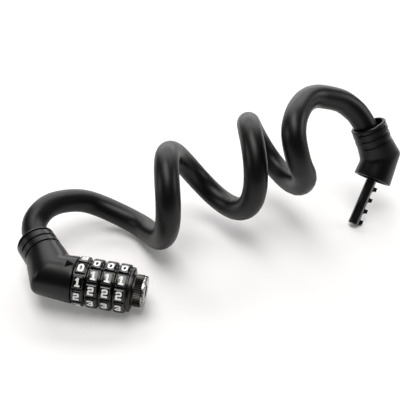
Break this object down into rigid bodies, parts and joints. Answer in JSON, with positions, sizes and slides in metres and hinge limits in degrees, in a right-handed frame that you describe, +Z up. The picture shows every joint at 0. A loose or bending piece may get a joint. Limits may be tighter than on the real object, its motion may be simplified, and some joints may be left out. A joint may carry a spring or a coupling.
{
  "type": "combination cable lock",
  "caption": "Coiled black cable with an elbow lock head with number dials at one end and an elbow bolt head with a toothed rod at the other.",
  "frame": {"origin": "on the table, under the middle of the box round the two heads", "axes": "+X from the lock head to the bolt head, +Y away from the side that the picture shows, +Z up"},
  "size_m": [0.1947, 0.1051, 0.0732],
  "materials": {
    "brass": "machined brass",
    "bright_metal": "bright worn nickel",
    "core_metal": "dark plated steel",
    "dial_black": "glossy black number dials",
    "housing_black": "fine satin black moulding",
    "jacket": "matte black cable jacket",
    "knurl_black": "black knurled metal",
    "steel": "plain steel",
    "number_ink": "white printed numbers",
    "index_ink": "printed index mark"
  },
  "bodies": {
    "lock_and_cable": {"lock_housing": "housing_black", "core_tube": "core_metal", "core_screw": "steel", "leaf_spring": "steel", "reset_spring": "steel", "end_flange": "bright_metal", "lock_ferrule": "steel", "lock_rope_end": "steel", "lock_cross_pin": "steel", "cable": "jacket", "bolt_housing": "housing_black", "bolt_rod": "core_metal", "rod_pin": "steel", "bolt_ferrule": "steel", "bolt_rope_end": "steel", "bolt_cross_pin": "steel"},
    "dial_1": {"dial_1": "dial_black"},
    "ring_1": {"code_ring_1": "brass"},
    "dial_2": {"dial_2": "dial_black"},
    "ring_2": {"code_ring_2": "brass"},
    "dial_3": {"dial_3": "dial_black"},
    "ring_3": {"code_ring_3": "brass"},
    "dial_4": {"dial_4": "dial_black"},
    "ring_4": {"code_ring_4": "brass"},
    "pusher": {"pusher": "brass"},
    "reset_collar": {"reset_collar": "knurl_black", "end_ring": "bright_metal"}
  },
  "joints": [
    {"name": "reset_turn", "type": "hinge", "parent": "lock_and_cable", "child": "reset_collar", "pos_m": [-0.04014, -0.04156, 0.01102], "axis": [0.9849, -0.1367, -0.1063], "range_deg": [0, 90]},
    {"name": "pusher_slide", "type": "slide", "parent": "lock_and_cable", "child": "pusher", "axis": [-0.9849, 0.1367, 0.1063], "range_m": [0, 0.0012]},
    {"name": "dial_1_turn", "type": "hinge", "parent": "lock_and_cable", "child": "dial_1", "pos_m": [-0.06557, -0.03803, 0.01377], "axis": [0.9849, -0.1367, -0.1063], "continuous": true},
    {"name": "ring_1_slide", "type": "slide", "parent": "dial_1", "child": "ring_1", "axis": [-0.9849, 0.1367, 0.1063], "range_m": [0, 0.0012], "deforming": ["reset_spring"]},
    {"name": "dial_2_turn", "type": "hinge", "parent": "lock_and_cable", "child": "dial_2", "pos_m": [-0.05932, -0.0389, 0.01309], "axis": [0.9849, -0.1367, -0.1063], "continuous": true},
    {"name": "ring_2_slide", "type": "slide", "parent": "dial_2", "child": "ring_2", "axis": [-0.9849, 0.1367, 0.1063], "range_m": [0, 0.0012]},
    {"name": "dial_3_turn", "type": "hinge", "parent": "lock_and_cable", "child": "dial_3", "pos_m": [-0.05307, -0.03977, 0.01242], "axis": [0.9849, -0.1367, -0.1063], "continuous": true},
    {"name": "ring_3_slide", "type": "slide", "parent": "dial_3", "child": "ring_3", "axis": [-0.9849, 0.1367, 0.1063], "range_m": [0, 0.0012]},
    {"name": "dial_4_turn", "type": "hinge", "parent": "lock_and_cable", "child": "dial_4", "pos_m": [-0.04681, -0.04064, 0.01174], "axis": [0.9849, -0.1367, -0.1063], "continuous": true},
    {"name": "ring_4_slide", "type": "slide", "parent": "dial_4", "child": "ring_4", "axis": [-0.9849, 0.1367, 0.1063], "range_m": [0, 0.0012]}
  ],
  "couplings": [
    {"joint": "reset_turn", "follows": "pusher_slide", "rad_per_m": 1309},
    {"joint": "ring_1_slide", "follows": "pusher_slide", "ratio": 1},
    {"joint": "ring_2_slide", "follows": "pusher_slide", "ratio": 1},
    {"joint": "ring_3_slide", "follows": "pusher_slide", "ratio": 1},
    {"joint": "ring_4_slide", "follows": "pusher_slide", "ratio": 1}
  ]
}
